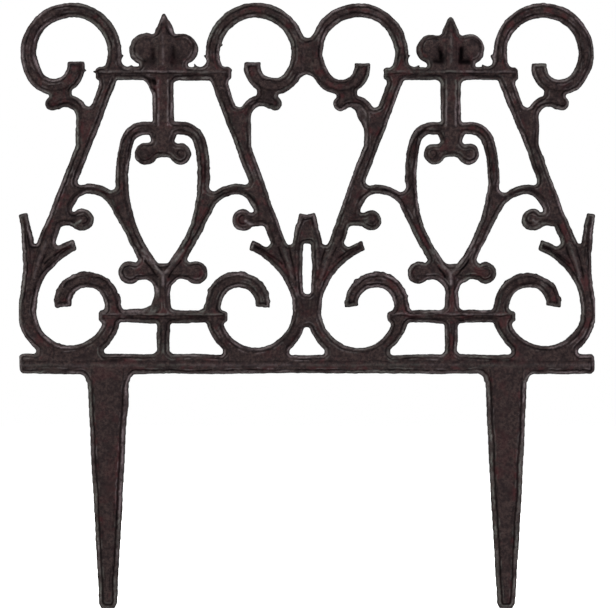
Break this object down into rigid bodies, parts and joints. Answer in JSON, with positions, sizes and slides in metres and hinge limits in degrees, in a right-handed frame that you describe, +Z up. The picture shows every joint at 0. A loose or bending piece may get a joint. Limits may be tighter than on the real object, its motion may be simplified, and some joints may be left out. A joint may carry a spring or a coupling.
{
  "type": "mini garden fence panel",
  "caption": "Small cast-iron border fence panel with mirrored scrollwork bays on one rail, fleur-de-lis finials and two ground stakes.",
  "frame": {"origin": "middle of the bottom rail's underside, on the ground line", "axes": "+X along the panel to its right end, +Y through the thickness away from the viewer, +Z up"},
  "size_m": [0.2994, 0.011, 0.3147],
  "materials": {
    "cast_iron": "dark brown antique finish on rough sand-cast iron"
  },
  "bodies": {
    "root": {"bottom_rail": "cast_iron", "left_crossbar": "cast_iron", "left_drop": "cast_iron", "left_finial": "cast_iron", "left_inner_arch_curl": "cast_iron", "left_inner_ground_scroll": "cast_iron", "left_inner_hook": "cast_iron", "left_inner_leaf": "cast_iron", "left_inner_ring": "cast_iron", "left_inner_side_bar": "cast_iron", "left_inner_vase_side": "cast_iron", "left_outer_arch_curl": "cast_iron", "left_outer_ground_scroll": "cast_iron", "left_outer_hook": "cast_iron", "left_outer_leaf": "cast_iron", "left_outer_ring": "cast_iron", "left_outer_side_bar": "cast_iron", "left_outer_vase_side": "cast_iron", "left_post": "cast_iron", "left_stake": "cast_iron", "left_tie_bar": "cast_iron", "left_vase_foot": "cast_iron", "right_crossbar": "cast_iron", "right_drop": "cast_iron", "right_finial": "cast_iron", "right_inner_arch_curl": "cast_iron", "right_inner_ground_scroll": "cast_iron", "right_inner_hook": "cast_iron", "right_inner_leaf": "cast_iron", "right_inner_ring": "cast_iron", "right_inner_side_bar": "cast_iron", "right_inner_vase_side": "cast_iron", "right_outer_arch_curl": "cast_iron", "right_outer_ground_scroll": "cast_iron", "right_outer_hook": "cast_iron", "right_outer_leaf": "cast_iron", "right_outer_ring": "cast_iron", "right_outer_side_bar": "cast_iron", "right_outer_vase_side": "cast_iron", "right_post": "cast_iron", "right_stake": "cast_iron", "right_tie_bar": "cast_iron", "right_vase_foot": "cast_iron", "ring_bridge": "cast_iron", "scroll_bridge": "cast_iron", "thorn_bridge": "cast_iron"}
  },
  "joints": []
}
